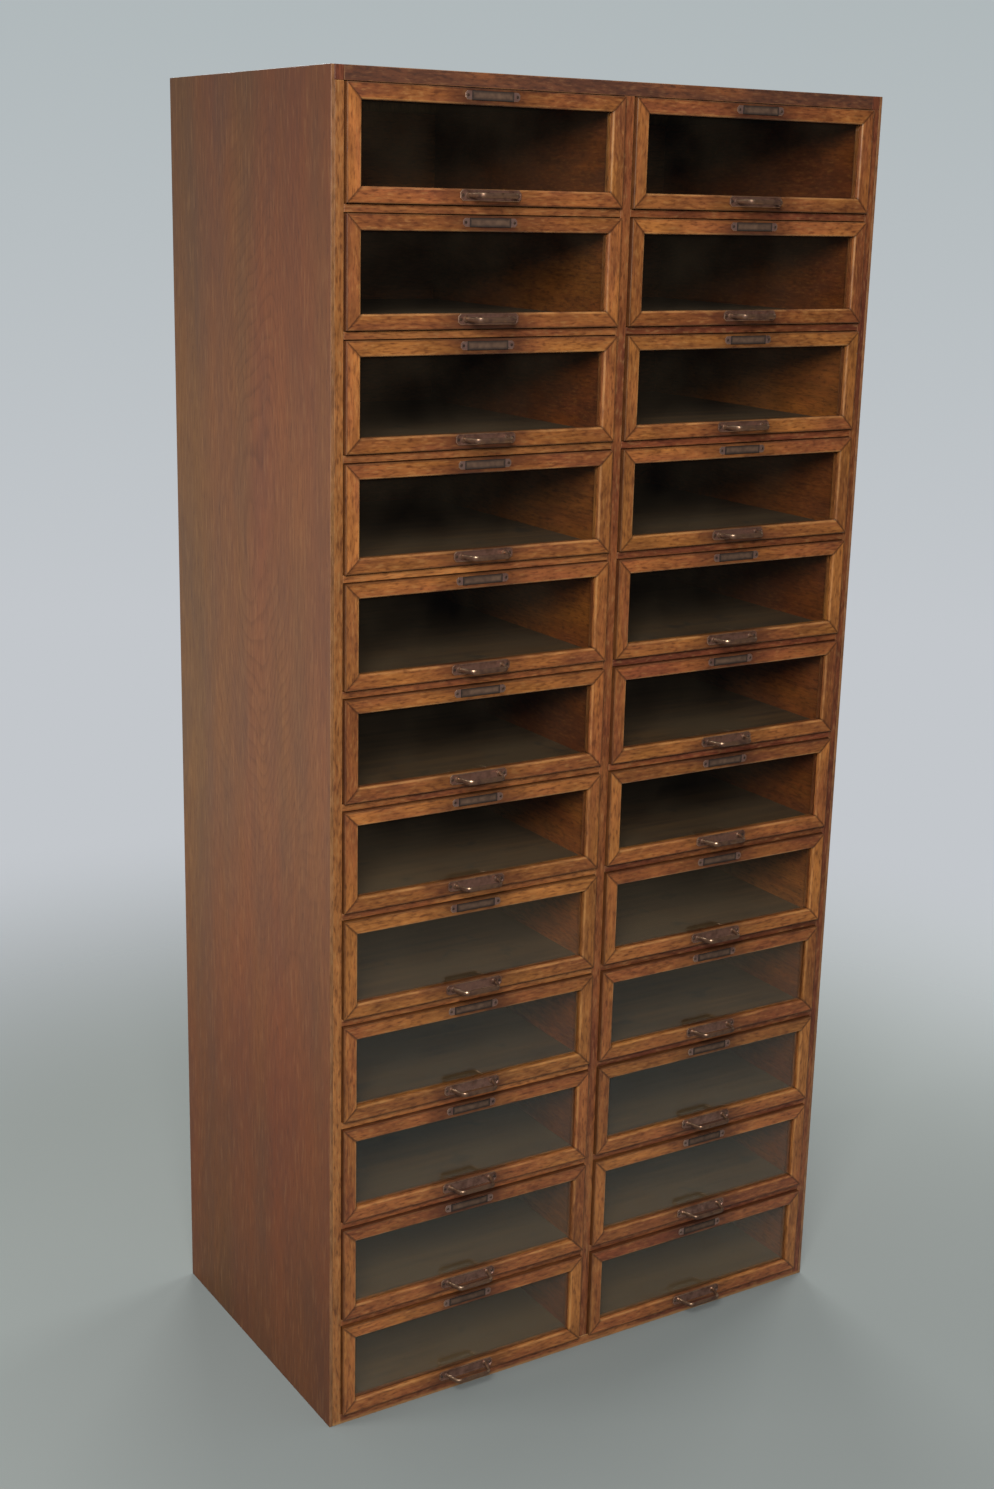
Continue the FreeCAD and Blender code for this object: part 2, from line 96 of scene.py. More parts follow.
BACK_SCREWS_ACROSS = [x * MM for x in (-320, -210, -110, 110, 210, 320)]
COLUMN_X = (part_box("right_drawer_01")[0].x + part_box("right_drawer_01")[1].x) / 2


# Material helpers

def paint(value):
    """An sRGB hex colour as linear light."""
    channels = (int(value[place:place + 2], 16) / 255 for place in (1, 3, 5))
    return tuple(c / 12.92 if c <= 0.04045 else ((c + 0.055) / 1.055) ** 2.4 for c in channels) + (1.0,)


def add(tree, kind, inputs=None, stops=None, **settings):
    """One shader node: its settings, what its inputs are set or linked to, and a ramp's stops."""
    node = tree.nodes.new(kind)
    for name, value in settings.items():
        setattr(node, name, value)
    for socket, value in (inputs or {}).items():
        if isinstance(value, bpy.types.NodeSocket):
            tree.links.new(value, node.inputs[socket])
        else:
            node.inputs[socket].default_value = value
    if stops:
        elements = node.color_ramp.elements
        elements[0].position, elements[1].position = stops[0][0], stops[-1][0]
        for place, _ in stops[1:-1]:
            elements.new(place)
        for element, (_, colour) in zip(elements, stops):
            element.color = colour
    return node


def new_material(name):
    """A material, its tree and its Principled shader."""
    material = bpy.data.materials.new(name)
    material.use_nodes = True
    return material, material.node_tree, material.node_tree.nodes["Principled BSDF"]


def wood_figure(tree, place, patterns):
    """The figure of a wood, by name: each pattern is drawn out along the grain by a scale of its own,
    and is as fine as its detail."""
    figure = {}
    for pattern, scale, detail in patterns:
        stretched = add(tree, "ShaderNodeMapping", {"Vector": place, "Scale": scale}).outputs[0]
        figure[pattern] = add(tree, "ShaderNodeTexNoise", {
            "Vector": stretched, "Scale": 1.0, "Detail": detail}).outputs["Fac"]
    return figure


def figured_colour(tree, base, figure, layers):
    """A wood's colour with its figure laid over it in other colours, each where its pattern goes from
    one level to another. Returns how deep the last one lies, too."""
    for pattern, start, full, strength, colour in layers:
        depth = add(tree, "ShaderNodeMapRange", {
            0: figure[pattern], 1: start, 2: full, 3: 0.0, 4: strength}).outputs[0]
        base = add(tree, "ShaderNodeMix", {0: depth, 6: base, 7: paint(colour)}, data_type="RGBA").outputs[2]
    return base, depth


def varnished_wood(name, ochre, brown, red, dark, light, roughness=0.4, grimy=False, scuffed=False):
    """Solid wood, stained and varnished by hand, so that no two boards have quite the same colour.

    The grain attribute runs along each board's own length. Patterns, along and across the grain:
    boards differ over about 1.4 m, clouds of stain are 140 by 33 mm, blotches 42 by 14 mm, streaks of
    early and late wood 70 by 4 mm, flecks of dark pores and of light rays 12 by 3 mm. The single
    pores are really 0.2 mm wide: they are drawn 1.2 mm wide and 15 mm long, so that they show.
    """
    material, tree, surface = new_material(name)
    grain = add(tree, "ShaderNodeAttribute", attribute_name="grain").outputs["Vector"]
    tone = add(tree, "ShaderNodeAttribute", attribute_name="tone").outputs["Fac"]
    wear_and_highlight = add(tree, "ShaderNodeAttribute", attribute_name="wear_and_highlight").outputs["Fac"]
    dirt_and_shade = add(tree, "ShaderNodeAttribute", attribute_name="dirt_and_shade").outputs["Fac"]
    figure = wood_figure(tree, grain, (
        ("board", (0.7, 0.7, 0.7), 0.0), ("cloud", (7.0, 30.0, 30.0), 3.0),
        ("blotch", (24.0, 70.0, 70.0), 4.0), ("streak", (14.0, 250.0, 250.0), 3.0),
        ("fleck", (80.0, 290.0, 290.0), 4.0), ("pore", (66.0, 830.0, 830.0), 1.0)))

    hue = add(tree, "ShaderNodeMath", {0: figure["cloud"], 1: 0.5}, operation="SUBTRACT").outputs[0]
    hue = add(tree, "ShaderNodeMath", {0: hue, 1: 2.0, 2: tone}, operation="MULTIPLY_ADD").outputs[0]
    base = add(tree, "ShaderNodeValToRGB", {0: hue}, [
        (0.0, paint(ochre)), (0.5, paint(brown)), (1.0, paint(red))]).outputs[0]
    for pattern, darkest, lightest in (("board", 0.78, 1.15), ("blotch", 0.82, 1.2)):
        shade = add(tree, "ShaderNodeMapRange", {
            0: figure[pattern], 1: 0.33, 2: 0.67, 3: darkest, 4: lightest}).outputs[0]
        base = add(tree, "ShaderNodeMix", {0: 1.0, 6: base, 7: shade}, data_type="RGBA",
                   blend_type="MULTIPLY").outputs[2]
    base, depth = figured_colour(tree, base, figure, (
        ("streak", 0.45, 0.7, 0.35, dark), ("fleck", 0.53, 0.68, 0.6, dark),
        ("fleck", 0.45, 0.32, 0.28, light), ("pore", 0.56, 0.68, 0.4, dark)))
    rubbed = add(tree, "ShaderNodeMapRange", {
        0: figure["blotch"], 1: 0.4, 2: 0.6, 3: 0.1, 4: 0.8}).outputs[0]
    rubbed = add(tree, "ShaderNodeMath", {0: rubbed, 1: wear_and_highlight}, operation="MULTIPLY").outputs[0]
    base = add(tree, "ShaderNodeMix", {0: rubbed, 6: base, 7: paint(light)}, data_type="RGBA").outputs[2]
    # Dirt in the mitres, and painted shade along the fronts' outer edges and round the label cards.
    dirt_and_shade_share = add(tree, "ShaderNodeMath", {0: dirt_and_shade, 1: 0.65}, operation="MULTIPLY").outputs[0]
    base = add(tree, "ShaderNodeMix", {0: dirt_and_shade_share, 6: base, 7: paint(GRIME_AND_SHADE)}, data_type="RGBA").outputs[2]
    if grimy:
        base = add_grime(tree, base, figure["cloud"])
    if scuffed:
        base = add_scuffs(tree, base, figure["cloud"], light)
    gloss = add(tree, "ShaderNodeMapRange", {
        0: figure["cloud"], 1: 0.3, 2: 0.7, 3: roughness - 0.08, 4: roughness + 0.12}).outputs[0]
    relief = add(tree, "ShaderNodeMath", {0: figure["fleck"], 1: depth}, operation="ADD").outputs[0]
    normal = add(tree, "ShaderNodeBump", {
        "Strength": 0.4, "Distance": 0.0002, "Height": relief}, invert=True)
    tree.links.new(base, surface.inputs["Base Color"])
    tree.links.new(gloss, surface.inputs["Roughness"])
    tree.links.new(normal.outputs[0], surface.inputs["Normal"])
    surface.inputs["Specular IOR Level"].default_value = 0.45
    return material


def add_grime(tree, base, cloud):
    """Darkens the wood that hands have touched, about the fittings in the middle of each front."""
    spot = add(tree, "ShaderNodeTexCoord").outputs["Object"]
    away = add(tree, "ShaderNodeSeparateXYZ", {0: spot}).outputs[0]
    for operation, value in (("ABSOLUTE", 0.0), ("SUBTRACT", COLUMN_X), ("ABSOLUTE", 0.0)):
        away = add(tree, "ShaderNodeMath", {0: away, 1: value}, operation=operation).outputs[0]
    near = add(tree, "ShaderNodeMapRange", {0: away, 1: 0.035, 2: 0.085, 3: 1.05, 4: 0.0}).outputs[0]
    near = add(tree, "ShaderNodeMath", {0: near, 1: cloud}, operation="MULTIPLY").outputs[0]
    return add(tree, "ShaderNodeMix", {0: near, 6: base, 7: paint(GRIME_AND_SHADE)}, data_type="RGBA").outputs[2]


def add_scuffs(tree, base, cloud, light):
    """Bares the wood in patches along the cabinet's foot, where shoes and brooms have rubbed it."""
    spot = add(tree, "ShaderNodeTexCoord").outputs["Object"]
    height = add(tree, "ShaderNodeSeparateXYZ", {0: spot}).outputs[2]
    low = add(tree, "ShaderNodeMapRange", {0: height, 1: 0.002, 2: 0.006, 3: 1.0, 4: 0.0}).outputs[0]
    low = add(tree, "ShaderNodeMath", {0: low, 1: cloud}, operation="MULTIPLY", use_clamp=True).outputs[0]
    return add(tree, "ShaderNodeMix", {0: low, 6: base, 7: paint(light)}, data_type="RGBA").outputs[2]


def contour_lines(tree, spot, waves):
    """The hill of growth rings that the peeled sheet cuts, 0.6 m wide and 1.7 m tall, and its contour
    lines. The real ones are 2 to 4 mm apart; these are mostly 7 mm or more, so that they show."""
    oval = add(tree, "ShaderNodeMapping", {
        "Vector": spot, "Location": (0.0, 0.3, -4.6), "Scale": (0.0, 10.0, 3.6)}).outputs[0]
    oval = add(tree, "ShaderNodeVectorMath", {0: oval}, operation="LENGTH").outputs["Value"]
    hill = add(tree, "ShaderNodeMapRange", {0: oval, 1: 0.0, 2: 3.0, 3: 1.0, 4: 0.0},
               interpolation_type="SMOOTHSTEP").outputs[0]
    level = add(tree, "ShaderNodeMath", {0: waves, 1: 0.5, 2: hill}, operation="MULTIPLY_ADD").outputs[0]
    level = add(tree, "ShaderNodeMath", {0: level, 1: 30.0}, operation="MULTIPLY").outputs[0]
    band = add(tree, "ShaderNodeMath", {0: level}, operation="FRACT").outputs[0]
    band = add(tree, "ShaderNodeValToRGB", {0: band}, [
        (0.0, paint("#000000")), (0.6, paint("#606060")), (0.9, paint("#FFFFFF")),
        (1.0, paint("#000000"))]).outputs[0]
    return hill, band


def rotary_cut_veneer():
    """Rotary-cut veneer, stained and varnished. Peeling the log gives thin contour lines round a tall
    oval figure, and long plain waves elsewhere. Colour drifts from olive at the back to red in front,
    and painted shade darkens it towards the floor and the top, standing in for the light falling off there.

    Patterns, along the depth and up the height: colour drifts over 140 by 1430 mm, waves are 140 by
    620 mm, clouds 62 by 250 mm, fibres 5 by 42 mm. The pores are really 0.2 mm wide: they are drawn
    1.4 mm wide and 14 mm long, so that they show.
    """
    material, tree, surface = new_material("rotary_cut_veneer")
    spot = add(tree, "ShaderNodeTexCoord").outputs["Object"]
    figure = wood_figure(tree, spot, (
        ("drift", (5.0, 7.0, 0.7), 2.0), ("waves", (3.0, 7.0, 1.6), 1.6),
        ("cloud", (9.0, 16.0, 4.0), 4.0), ("fibre", (80.0, 200.0, 24.0), 3.0),
        ("pore", (300.0, 700.0, 70.0), 1.0)))
    hill, band = contour_lines(tree, spot, figure["waves"])
    hue = add(tree, "ShaderNodeSeparateXYZ", {0: spot}).outputs[1]
    hue = add(tree, "ShaderNodeMath", {0: hue, 1: -0.9, 2: -0.5}, operation="MULTIPLY_ADD").outputs[0]
    hue = add(tree, "ShaderNodeMath", {0: figure["drift"], 1: 2.0, 2: hue},
              operation="MULTIPLY_ADD").outputs[0]
    base = add(tree, "ShaderNodeValToRGB", {0: hue}, [
        (0.1, paint("#6F4D2E")), (0.5, paint("#764C2E")), (0.9, paint("#7B482C"))]).outputs[0]
    # Painted shade: the side is darkened towards the floor and the top, and left lightest at mid-height,
    # where the lamp's light falls most.
    height = add(tree, "ShaderNodeSeparateXYZ", {0: spot}).outputs[2]
    height = add(tree, "ShaderNodeMath", {0: height, 1: 0.5}, operation="MULTIPLY").outputs[0]
    painted_shade_by_height = add(tree, "ShaderNodeValToRGB", {0: height}, [
        (0.0, paint("#CDC3B4")), (0.22, paint("#EAD2BC")), (0.45, paint("#FFFFFC")),
        (0.7, paint("#F8F2EC")), (0.92, paint("#D4CBC4"))]).outputs[0]
    mottled = add(tree, "ShaderNodeMapRange", {
        0: figure["cloud"], 1: 0.3, 2: 0.7, 3: 0.82, 4: 1.15}).outputs[0]
    for shade in (painted_shade_by_height, mottled):
        base = add(tree, "ShaderNodeMix", {0: 1.0, 6: base, 7: shade}, data_type="RGBA",
                   blend_type="MULTIPLY").outputs[2]
    depth = add(tree, "ShaderNodeMapRange", {0: hill, 1: 0.0, 2: 0.7, 3: 0.08, 4: 0.26}).outputs[0]
    depth = add(tree, "ShaderNodeMath", {0: depth, 1: band}, operation="MULTIPLY").outputs[0]
    base = add(tree, "ShaderNodeMix", {0: depth, 6: base, 7: paint("#44240F")}, data_type="RGBA").outputs[2]
    base, depth = figured_colour(tree, base, figure, (
        ("fibre", 0.45, 0.7, 0.28, "#4E2C18"), ("fibre", 0.44, 0.3, 0.2, "#946A42"),
        ("pore", 0.58, 0.7, 0.34, "#361E14")))
    gloss = add(tree, "ShaderNodeMapRange", {
        0: figure["cloud"], 1: 0.3, 2: 0.7, 3: 0.42, 4: 0.56}).outputs[0]
    normal = add(tree, "ShaderNodeBump", {
        "Strength": 0.25, "Distance": 0.0002, "Height": depth}, invert=True)
    tree.links.new(base, surface.inputs["Base Color"])
    tree.links.new(gloss, surface.inputs["Roughness"])
    tree.links.new(normal.outputs[0], surface.inputs["Normal"])
    surface.inputs["Specular IOR Level"].default_value = 0.2
    return material


def dusty_plywood():
    """Thin birch plywood, unfinished: plain wavy figure under brown dust, with a few dark stains. It is
    painted paler in the lowest drawers: a painted reflection of the pale floor, which the panes mirror
    there."""
    material, tree, surface = new_material("dusty_birch_plywood")
    grain = add(tree, "ShaderNodeAttribute", attribute_name="grain").outputs["Vector"]
    spot = add(tree, "ShaderNodeTexCoord").outputs["Object"]
    height = add(tree, "ShaderNodeSeparateXYZ", {0: spot}).outputs[2]
    # Painted reflection: paler towards the floor, standing in for the floor that the lowest panes mirror.
    low = add(tree, "ShaderNodeMapRange", {0: height, 1: 0.5, 2: 0.0, 3: 0.0, 4: 0.2}).outputs[0]
    spread = add(tree, "ShaderNodeMapping", {"Vector": grain, "Scale": (5.0, 60.0, 60.0)}).outputs[0]
    figure = add(tree, "ShaderNodeTexNoise", {"Vector": spread, "Scale": 1.0, "Detail": 3.0}).outputs["Fac"]
    dust = add(tree, "ShaderNodeTexNoise", {"Vector": grain, "Scale": 9.0, "Detail": 6.0}).outputs["Fac"]
    stain = add(tree, "ShaderNodeTexNoise", {
        "Vector": grain, "Scale": 24.0, "Detail": 4.0, "Distortion": 0.4}).outputs["Fac"]
    base = add(tree, "ShaderNodeValToRGB", {0: figure}, [
        (0.3, paint("#61411F")), (0.7, paint("#3E2611"))]).outputs[0]
    cover = add(tree, "ShaderNodeMapRange", {0: dust, 1: 0.35, 2: 0.65, 3: 0.05, 4: 0.85}).outputs[0]
    base = add(tree, "ShaderNodeMix", {0: cover, 6: base, 7: paint("#564029")}, data_type="RGBA").outputs[2]
    spots = add(tree, "ShaderNodeMapRange", {0: stain, 1: 0.62, 2: 0.72, 3: 0.0, 4: 0.6}).outputs[0]
    base = add(tree, "ShaderNodeMix", {0: spots, 6: base, 7: paint("#2E251D")}, data_type="RGBA").outputs[2]
    base = add(tree, "ShaderNodeMix", {0: low, 6: base, 7: paint("#8A6E50")}, data_type="RGBA").outputs[2]
    tree.links.new(base, surface.inputs["Base Color"])
    surface.inputs["Roughness"].default_value = 0.85
    return material


def planed_softwood():
    """Softwood, planed and left bare: pale, matt, with growth rings along the cabinet's depth."""
    material, tree, surface = new_material("planed_softwood")
    spot = add(tree, "ShaderNodeTexCoord").outputs["Object"]
    spread = add(tree, "ShaderNodeMapping", {"Vector": spot, "Scale": (120.0, 6.0, 120.0)}).outputs[0]
    ring = add(tree, "ShaderNodeTexNoise", {"Vector": spread, "Scale": 1.0, "Detail": 3.0}).outputs["Fac"]
    base = add(tree, "ShaderNodeValToRGB", {0: ring}, [
        (0.3, paint("#A5824F")), (0.7, paint("#7E5C38"))]).outputs[0]
    tree.links.new(base, surface.inputs["Base Color"])
    surface.inputs["Roughness"].default_value = 0.7
    return material


def window_glass():
    """Drawn window glass with a thin film of dust: clear, with a faint veil and a sharp reflection
    that grows towards grazing angles. Each of the pane's two faces reflects 4% seen square on, and
    the panes nearest the floor are the dustiest."""
    material, tree, surface = new_material("dusty_window_glass")
    tree.nodes.remove(surface)
    spot = add(tree, "ShaderNodeTexCoord").outputs["Object"]
    film = add(tree, "ShaderNodeTexNoise", {"Vector": spot, "Scale": 9.0, "Detail": 4.0}).outputs["Fac"]
    film = add(tree, "ShaderNodeMapRange", {0: film, 1: 0.35, 2: 0.7, 3: 0.0, 4: 0.012}).outputs[0]
    height = add(tree, "ShaderNodeSeparateXYZ", {0: spot}).outputs[2]
    low = add(tree, "ShaderNodeMapRange", {0: height, 1: 0.5, 2: 0.0, 3: 0.0, 4: 0.04}).outputs[0]
    film = add(tree, "ShaderNodeMath", {0: film, 1: low}, operation="ADD").outputs[0]
    clear = add(tree, "ShaderNodeBsdfTransparent", {"Color": paint("#F7F9F6")}).outputs[0]
    dust = add(tree, "ShaderNodeBsdfDiffuse", {"Color": paint("#B89C7A")}).outputs[0]
    shine = add(tree, "ShaderNodeBsdfGlossy", {"Color": paint("#FFFFFF"), "Roughness": 0.04}).outputs[0]
    veiled = add(tree, "ShaderNodeMixShader", {0: film, 1: clear, 2: dust}).outputs[0]
    grazing = add(tree, "ShaderNodeLayerWeight", {"Blend": 0.5}).outputs["Facing"]
    grazing = add(tree, "ShaderNodeMath", {0: grazing, 1: 5.0}, operation="POWER").outputs[0]
    mirror = add(tree, "ShaderNodeMath", {0: grazing, 1: 0.96, 2: 0.04}, operation="MULTIPLY_ADD").outputs[0]
    glazed = add(tree, "ShaderNodeMixShader", {0: mirror, 1: veiled, 2: shine}).outputs[0]
    tree.links.new(glazed, tree.nodes["Material Output"].inputs["Surface"])
    return material


def bronzed_metal(name, dull, bright, roughness):
    """Steel with a brown bronzed lacquer that is worn through in places: a soft sheen, half of metal
    and half of lacquer, with paler patches about 10 mm wide, and edges made bright by rubbing and by a
    painted highlight."""
    material, tree, surface = new_material(name)
    spot = add(tree, "ShaderNodeTexCoord").outputs["Object"]
    wear_and_highlight = add(tree, "ShaderNodeAttribute", attribute_name="wear_and_highlight").outputs["Fac"]
    patches_and_highlight = add(tree, "ShaderNodeTexNoise", {"Vector": spot, "Scale": 90.0, "Detail": 3.0}).outputs["Fac"]
    # Faces marked as worn are made paler: rubbed wear, and a painted highlight on the fittings' edges and
    # the bow's upper faces.
    patches_and_highlight = add(tree, "ShaderNodeMath", {0: wear_and_highlight, 1: 0.4, 2: patches_and_highlight}, operation="MULTIPLY_ADD").outputs[0]
    base = add(tree, "ShaderNodeValToRGB", {0: patches_and_highlight}, [
        (0.35, paint(dull)), (0.7, paint(bright)), (1.0, paint("#D8B494"))]).outputs[0]
    gloss = add(tree, "ShaderNodeMapRange", {
        0: patches_and_highlight, 1: 0.35, 2: 0.7, 3: roughness + 0.1, 4: roughness - 0.1}).outputs[0]
    bare = add(tree, "ShaderNodeMapRange", {0: patches_and_highlight, 1: 0.35, 2: 0.7, 3: 0.3, 4: 0.9}).outputs[0]
    tree.links.new(base, surface.inputs["Base Color"])
    tree.links.new(gloss, surface.inputs["Roughness"])
    tree.links.new(bare, surface.inputs["Metallic"])
    return material


def aged_card():
    """Blank label card, browned and mottled with age, and painted black along the rim, as painted shade
    under it.
    """
    material, tree, surface = new_material("aged_card")
    spot = add(tree, "ShaderNodeTexCoord").outputs["Object"]
    dirt_and_shade = add(tree, "ShaderNodeAttribute", attribute_name="dirt_and_shade").outputs["Fac"]
    mottle = add(tree, "ShaderNodeTexNoise", {"Vector": spot, "Scale": 120.0, "Detail": 4.0}).outputs["Fac"]
    base = add(tree, "ShaderNodeValToRGB", {0: mottle}, [
        (0.3, paint("#463022")), (0.7, paint("#644A37"))]).outputs[0]
    # Painted shade under the rim, darkest at the card's edge.
    base = add(tree, "ShaderNodeMix", {0: dirt_and_shade, 6: base, 7: paint("#150B06")}, data_type="RGBA").outputs[2]
    tree.links.new(base, surface.inputs["Base Color"])
    surface.inputs["Roughness"].default_value = 0.75
    return material


# The colour of dirt, and of the painted shade in the gaps round the fronts and under the label holders'
# rims.
GRIME_AND_SHADE = "#2E150C"
front_oak = varnished_wood("stained_oak_fronts", "#A66832", "#96572D", "#824427", "#4C2413", "#BE884E",
                           grimy=True)
carcass_oak = varnished_wood("stained_oak_carcass", "#A66A38", "#8C502B", "#733A23", "#421D11", "#B08654",
                             scuffed=True)
top_oak = varnished_wood("stained_oak_top", "#8A4E26", "#683A20", "#58301D", "#311A10", "#94663E", 0.7)
ply_edge = varnished_wood("stained_plywood_edge", "#94683F", "#8C5E3A", "#805436", "#553620", "#A8845C")
block_wood = varnished_wood("stained_corner_block", "#7A442B", "#6E3A26", "#60301F", "#331A12", "#7A4A34")
box_wood = varnished_wood("oiled_beech_drawers", "#965420", "#8A461A", "#783A1A", "#4A240E", "#A0662E", 0.55)
back_ply = varnished_wood("plain_plywood_back", "#B4915F", "#A98659", "#9A7548", "#7E5F3C", "#B89A70", 0.7)
veneer = rotary_cut_veneer()
bottom_ply = dusty_plywood()
softwood = planed_softwood()
glass = window_glass()
bow_metal = bronzed_metal("bronzed_steel_bow", "#4A3024", "#8E6C54", 0.48)
plate_metal = bronzed_metal("bronzed_steel_plate", "#583A2C", "#9C7464", 0.42)
holder_metal = bronzed_metal("bronzed_steel_holder", "#684A40", "#A8887C", 0.4)
screw_metal = bronzed_metal("darkened_steel_screws", "#33241C", "#6A5444", 0.45)
card = aged_card()


# Mesh helpers

SAME_PLACE = 0.01 * MM


def new_mesh():
    """An empty mesh with room for what the wood's pattern reads: grain, tone, wear with painted highlight,
    and dirt with painted shade.
    """
    bm = bmesh.new()
    bm.verts.layers.float_vector.new("grain")
    bm.verts.layers.float.new("dirt_and_shade")
    bm.verts.layers.int.new("laid")
    bm.faces.layers.float.new("tone")
    bm.faces.layers.float.new("wear_and_highlight")
    bm.faces.layers.int.new("laid")
    return bm


def newest(bm):
    """The vertices of the part that has no grain yet."""
    laid = bm.verts.layers.int["laid"]
    return [vert for vert in bm.verts if not vert[laid]]


def lay_grain(bm, along, tone, draw):
    """Runs the grain of the newest part along one axis, at a place of its own in the wood."""
    grain, laid = bm.verts.layers.float_vector["grain"], bm.verts.layers.int["laid"]
    order = {"x": (0, 1, 2), "y": (1, 0, 2), "z": (2, 0, 1)}[along]
    start = Vector([draw.uniform(-9, 9) for _ in order])
    for vert in newest(bm):
        vert[grain] = Vector([vert.co[axis] for axis in order]) + start
        vert[laid] = 1
    toned, laid = bm.faces.layers.float["tone"], bm.faces.layers.int["laid"]
    for face in bm.faces:
        if not face[laid]:
            face[toned] = tone
            face[laid] = 1


def edges_of(verts):
    """The edges round some vertices, each once."""
    return list(dict.fromkeys(edge for vert in verts for edge in vert.link_edges))


def edges_between(verts):
    """The edges with both ends among some vertices, each once."""
    chosen = set(verts)
    return [edge for edge in edges_of(verts) if chosen.issuperset(edge.verts)]


def ease(bm, edges, radius, segments=2, wear_and_highlight=1.0):
    """Rounds edges, and marks the narrow faces that this makes as worn; on the metal fittings the mark also
    makes a painted highlight.
    """
    made = bmesh.ops.bevel(bm, geom=edges, offset=radius, segments=segments, profile=0.5,
                           affect="EDGES", material=-1)
    wear_and_highlight_layer = bm.faces.layers.float["wear_and_highlight"]
    for face in made["faces"]:
        face[wear_and_highlight_layer] = wear_and_highlight


def sweep(bm, corners, *travels):
    """A closed outline swept along one or more vectors. Returns its rings of vertices."""
    ring = [bm.verts.new(corner) for corner in corners]
    rings, face = [ring], bm.faces.new(ring)
    for travel in travels:
        swept = bmesh.ops.extrude_face_region(bm, geom=[face])["geom"]
        face = next(item for item in swept if isinstance(item, bmesh.types.BMFace))
        if len(rings) > 1:
            bmesh.ops.delete(bm, geom=[old], context="FACES_ONLY")
        ring = [item for item in swept if isinstance(item, bmesh.types.BMVert)]
        bmesh.ops.translate(bm, vec=travel, verts=ring)
        rings.append(ring)
        old = face
    return rings


def board(bm, low, high, along, tone, draw, radius=BOARD_ARRIS, wear_and_highlight=1.0):
    """A planed board between two corners, with eased edges."""
    low, high = Vector(low), Vector(high)
    verts = bmesh.ops.create_cube(bm, size=1)["verts"]
    bmesh.ops.scale(bm, vec=high - low, verts=verts)
    bmesh.ops.translate(bm, vec=(low + high) / 2, verts=verts)
    ease(bm, edges_of(verts), radius, wear_and_highlight=wear_and_highlight)
    lay_grain(bm, along, tone, draw)


def finish(name, bm, body, materials, replaced=(), smooth=False):
    """Makes a mesh into a piece of the cabinet."""
    bmesh.ops.recalc_face_normals(bm, faces=bm.faces)
    for layers in (bm.verts.layers.int, bm.faces.layers.int):
        layers.remove(layers["laid"])
    mesh = bpy.data.meshes.new(name)
    bm.to_mesh(mesh)
    bm.free()
    for material in materials:
        mesh.materials.append(material)
    if smooth:
        mesh.shade_smooth()
        mesh.set_sharp_from_angle(angle=math.radians(35))
    piece = bpy.data.objects.new(name, mesh)
    scene.collection.objects.link(piece)
    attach(piece, body)
    for node in replaced:
        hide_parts(node)
    return piece


# Drawer pieces

# Each is built in a mesh of its own, at a spot in the front plane: the middle of the lower edge of the
# drawer's opening. Random draws set tones and grain, which the plate, bow and label holder don't have.

# The lower, left, upper and right side: its turn in degrees, and how it lies to the right and up.
SIDES_OF_FRAME = ((0, 0, -1), (90, -1, 0), (180, 0, 1), (270, 1, 0))
# Dirt fades out of each mitre over the second width. Painted shade, for the shadow in the gap round each
# front, fades in from the outer edge over the third. The fourth is how far painted shade reaches in from a
# card's rim.
MITRE_GAP, SOILED_END, SHADED_EDGE, RIM_SHADE_WIDTH = 0.12 * MM, 2.5 * MM, 2.6 * MM, 4 * MM
# The uprights are toned lighter and more ochre than the level members: a painted sheen, where their grain
# catches the light.
SHEENED_UPRIGHT_TONE, LEVEL_TONE = 0.25, 0.42


def mitred_strip(bm, section, eased, side, middle, tone, draw):
    """One side of a mitred frame, with dirt in its mitres and painted shade along its outer edge. Its
    section lists depth from the front face and distance inwards from the frame's outer edge; eased lists the
    corners of the section to round."""
    turn, right, up = side
    length = FRONT_HEIGHT if right else FRONT_WIDTH
    rings = sweep(bm, [(-length / 2, depth, inward) for depth, inward in section],
                  (SOILED_END, 0, 0), (length - 2 * SOILED_END, 0, 0), (SOILED_END, 0, 0))
    strip = newest(bm)
    dirt_and_shade = bm.verts.layers.float["dirt_and_shade"]
    for vert in strip:
        # The mitre ends get dirt; the outer edge, in the gap round the front, gets painted shade.
        vert[dirt_and_shade] = 1.0 if abs(vert.co.x) > length / 2 - MM or vert.co.z < SAME_PLACE else 0.0
        vert.co.x -= math.copysign(vert.co.z + MITRE_GAP, vert.co.x)
    for corner, radius, segments, wear_and_highlight in eased:
        line = [vert for vert in strip if vert.is_valid
                and (vert.co - rings[0][corner].co).yz.length < SAME_PLACE]
        ease(bm, edges_between(line), radius, segments, wear_and_highlight)
    strip = newest(bm)
    lay_grain(bm, "x", tone, draw)
    bmesh.ops.rotate(bm, cent=(0, 0, 0), matrix=Matrix.Rotation(math.radians(turn), 3, "Y"), verts=strip)
    place = middle + Vector((right * FRONT_WIDTH / 2, 0, up * FRONT_HEIGHT / 2))
    bmesh.ops.translate(bm, vec=place, verts=strip)


